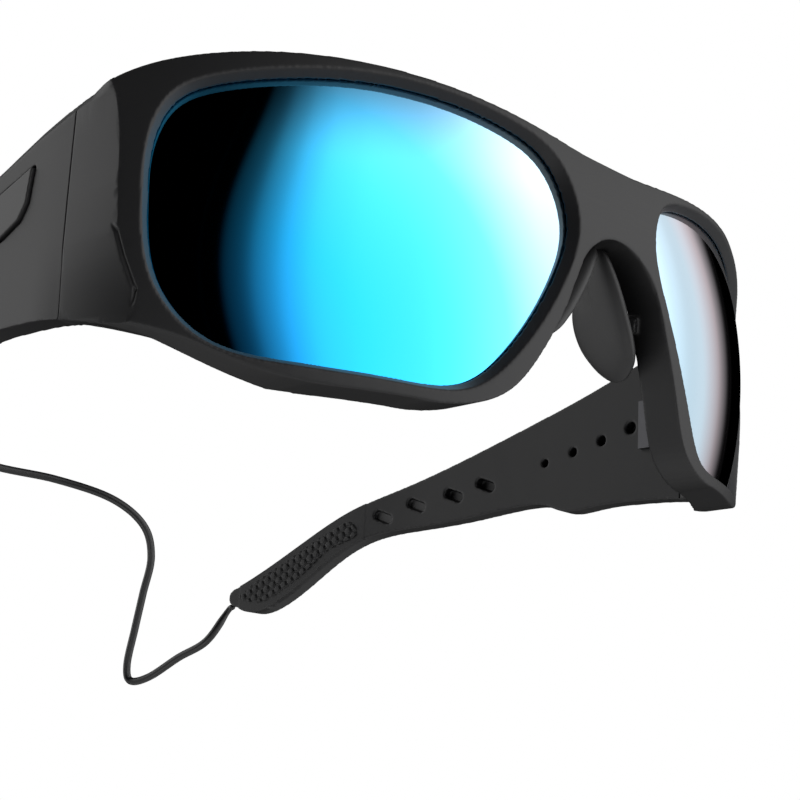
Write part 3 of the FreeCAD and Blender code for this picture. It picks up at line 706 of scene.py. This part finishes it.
def floor():
    size = FLOOR_HALF
    mesh = mesh_from("floor", [(-size, -size, FLOOR_Z), (size, -size, FLOOR_Z), (size, size, FLOOR_Z),
                               (-size, size, FLOOR_Z)], [(0, 1, 2, 3)])
    plane = link("floor", mesh)
    material, tree, shader = node_material("pale_floor")
    shader.inputs["Base Color"].default_value = (0.85, 0.85, 0.86, 1)
    shader.inputs["Roughness"].default_value = 0.8
    mesh.materials.append(material)
    plane.visible_glossy = False
    plane.visible_diffuse = False


def smooth_window(tree, value, low, high, soft):
    """1 where the value lies between low and high, falling softly to 0 outside."""
    rise = tree.nodes.new("ShaderNodeMapRange")
    rise.interpolation_type = "SMOOTHSTEP"
    rise.inputs["From Min"].default_value = low - soft
    rise.inputs["From Max"].default_value = low + soft
    fall = tree.nodes.new("ShaderNodeMapRange")
    fall.interpolation_type = "SMOOTHSTEP"
    fall.inputs["From Min"].default_value = high - soft
    fall.inputs["From Max"].default_value = high + soft
    fall.inputs["To Min"].default_value = 1
    fall.inputs["To Max"].default_value = 0
    both = tree.nodes.new("ShaderNodeMath")
    both.operation = "MULTIPLY"
    tree.links.new(value, rise.inputs["Value"])
    tree.links.new(value, fall.inputs["Value"])
    tree.links.new(rise.outputs["Result"], both.inputs[0])
    tree.links.new(fall.outputs["Result"], both.inputs[1])
    return both.outputs["Value"]


def combine(tree, operation, first, second):
    """A maths node between two sockets or numbers."""
    node = tree.nodes.new("ShaderNodeMath")
    node.operation = operation
    for socket, value in zip(node.inputs, (first, second)):
        if isinstance(value, (int, float)):
            socket.default_value = value
        else:
            tree.links.new(value, socket)
    return node.outputs["Value"]


def bearing_window(tree, bearing, window):
    """The same for a bearing, with the window given in degrees."""
    return smooth_window(tree, bearing, *[math.radians(angle) for angle in window])


def soft_box_profile(tree, bearing):
    """Brightness of the large soft box at a bearing, as a share of PEAK."""
    first, last = [math.radians(angle) for angle in PROFILE_SPAN]
    scale = tree.nodes.new("ShaderNodeMapRange")
    scale.inputs["From Min"].default_value = first
    scale.inputs["From Max"].default_value = last
    profile = tree.nodes.new("ShaderNodeValToRGB")
    profile.color_ramp.interpolation = "CARDINAL"
    tree.links.new(bearing, scale.inputs["Value"])
    tree.links.new(scale.outputs["Result"], profile.inputs["Fac"])
    levels = profile.color_ramp.elements
    stops = [((math.radians(angle) - first) / (last - first), level / PEAK) for angle, level in SOFT_BOX]
    for element, (position, level) in zip([levels[0], levels[1]], (stops[0], stops[-1])):
        element.position = position
        element.color = (level, level, level, 1)
    for position, level in stops[1:-1]:
        levels.new(position).color = (level, level, level, 1)
    return profile.outputs["Color"]


def studio():
    """White backdrop for the camera; for the object, tall soft boxes around a dim room."""
    world = bpy.data.worlds.new("studio")
    bpy.context.scene.world = world
    world.use_nodes = True
    tree = world.node_tree
    tree.nodes.clear()
    place = tree.nodes.new("ShaderNodeTexCoord")
    split = tree.nodes.new("ShaderNodeSeparateXYZ")
    tree.links.new(place.outputs["Generated"], split.inputs["Vector"])
    backwards = combine(tree, "MULTIPLY", split.outputs["Y"], -1.0)
    bearing = combine(tree, "ARCTAN2", split.outputs["X"], backwards)
    height = split.outputs["Z"]
    # bearing 0 is straight ahead of the lenses, and grows towards the wearer's left
    off_middle = combine(tree, "SUBTRACT", height, BEND_HEIGHT)
    bend = combine(tree, "MULTIPLY", combine(tree, "MULTIPLY", off_middle, off_middle), BEND)
    profile = soft_box_profile(tree, combine(tree, "SUBTRACT", bearing, bend))
    ahead = combine(tree, "MULTIPLY", bearing_window(tree, bearing, AHEAD_BEARING), PEAK)
    light = combine(tree, "MULTIPLY", profile, ahead)
    light = combine(tree, "MULTIPLY", light, smooth_window(tree, height, *AHEAD_HEIGHT))
    for place_at, level_at, strength in ((BACK_LEFT_BEARING, BACK_LEFT_HEIGHT, BACK_LEFT_LIGHT),
                                         (LOW_LEFT_BEARING, LOW_LEFT_HEIGHT, LOW_LEFT_LIGHT)):
        patch = bearing_window(tree, bearing, place_at)
        patch = combine(tree, "MULTIPLY", patch, smooth_window(tree, height, *level_at))
        light = combine(tree, "ADD", light, combine(tree, "MULTIPLY", patch, strength))
    below = combine(tree, "MULTIPLY", smooth_window(tree, height, *BELOW_HEIGHT), BELOW_LIGHT)
    light = combine(tree, "ADD", light, below)
    # mirrors see no glow between the soft boxes
    path = tree.nodes.new("ShaderNodeLightPath")
    not_mirrored = combine(tree, "SUBTRACT", 1.0, path.outputs["Is Glossy Ray"])
    light = combine(tree, "ADD", light, combine(tree, "MULTIPLY", not_mirrored, GLOW))
    room = tree.nodes.new("ShaderNodeBackground")
    tree.links.new(light, room.inputs["Strength"])
    white = tree.nodes.new("ShaderNodeBackground")
    white.inputs["Color"].default_value = (1, 1, 1, 1)
    white.inputs["Strength"].default_value = 1.0
    mix = tree.nodes.new("ShaderNodeMixShader")
    out = tree.nodes.new("ShaderNodeOutputWorld")
    tree.links.new(path.outputs["Is Camera Ray"], mix.inputs["Fac"])
    tree.links.new(room.outputs["Background"], mix.inputs[1])
    tree.links.new(white.outputs["Background"], mix.inputs[2])
    tree.links.new(mix.outputs["Shader"], out.inputs["Surface"])


def camera():
    """Looks up at the glasses from ahead of the wearer's right side, slightly rolled."""
    a, e = CAMERA_AZIMUTH, CAMERA_ELEVATION
    back = Vector((math.sin(a) * math.cos(e), -math.cos(a) * math.cos(e), math.sin(e)))
    right = (-back).cross(Vector((0, 0, 1))).normalized()
    up = right.cross(-back)
    rolled_right = right * math.cos(CAMERA_ROLL) + up * math.sin(CAMERA_ROLL)
    rolled_up = up * math.cos(CAMERA_ROLL) - right * math.sin(CAMERA_ROLL)
    data = bpy.data.cameras.new("camera")
    data.lens = CAMERA_LENS
    data.shift_x, data.shift_y = CAMERA_SHIFT
    data.clip_start = 0.01
    eye = bpy.data.objects.new("camera", data)
    bpy.context.collection.objects.link(eye)
    turn = Matrix((rolled_right, rolled_up, back)).transposed().to_4x4()
    eye.matrix_world = Matrix.Translation(CAMERA_TARGET + back * CAMERA_DISTANCE) @ turn
    bpy.context.scene.camera = eye


floor()
studio()
camera()
bpy.context.scene.view_settings.view_transform = "Standard"
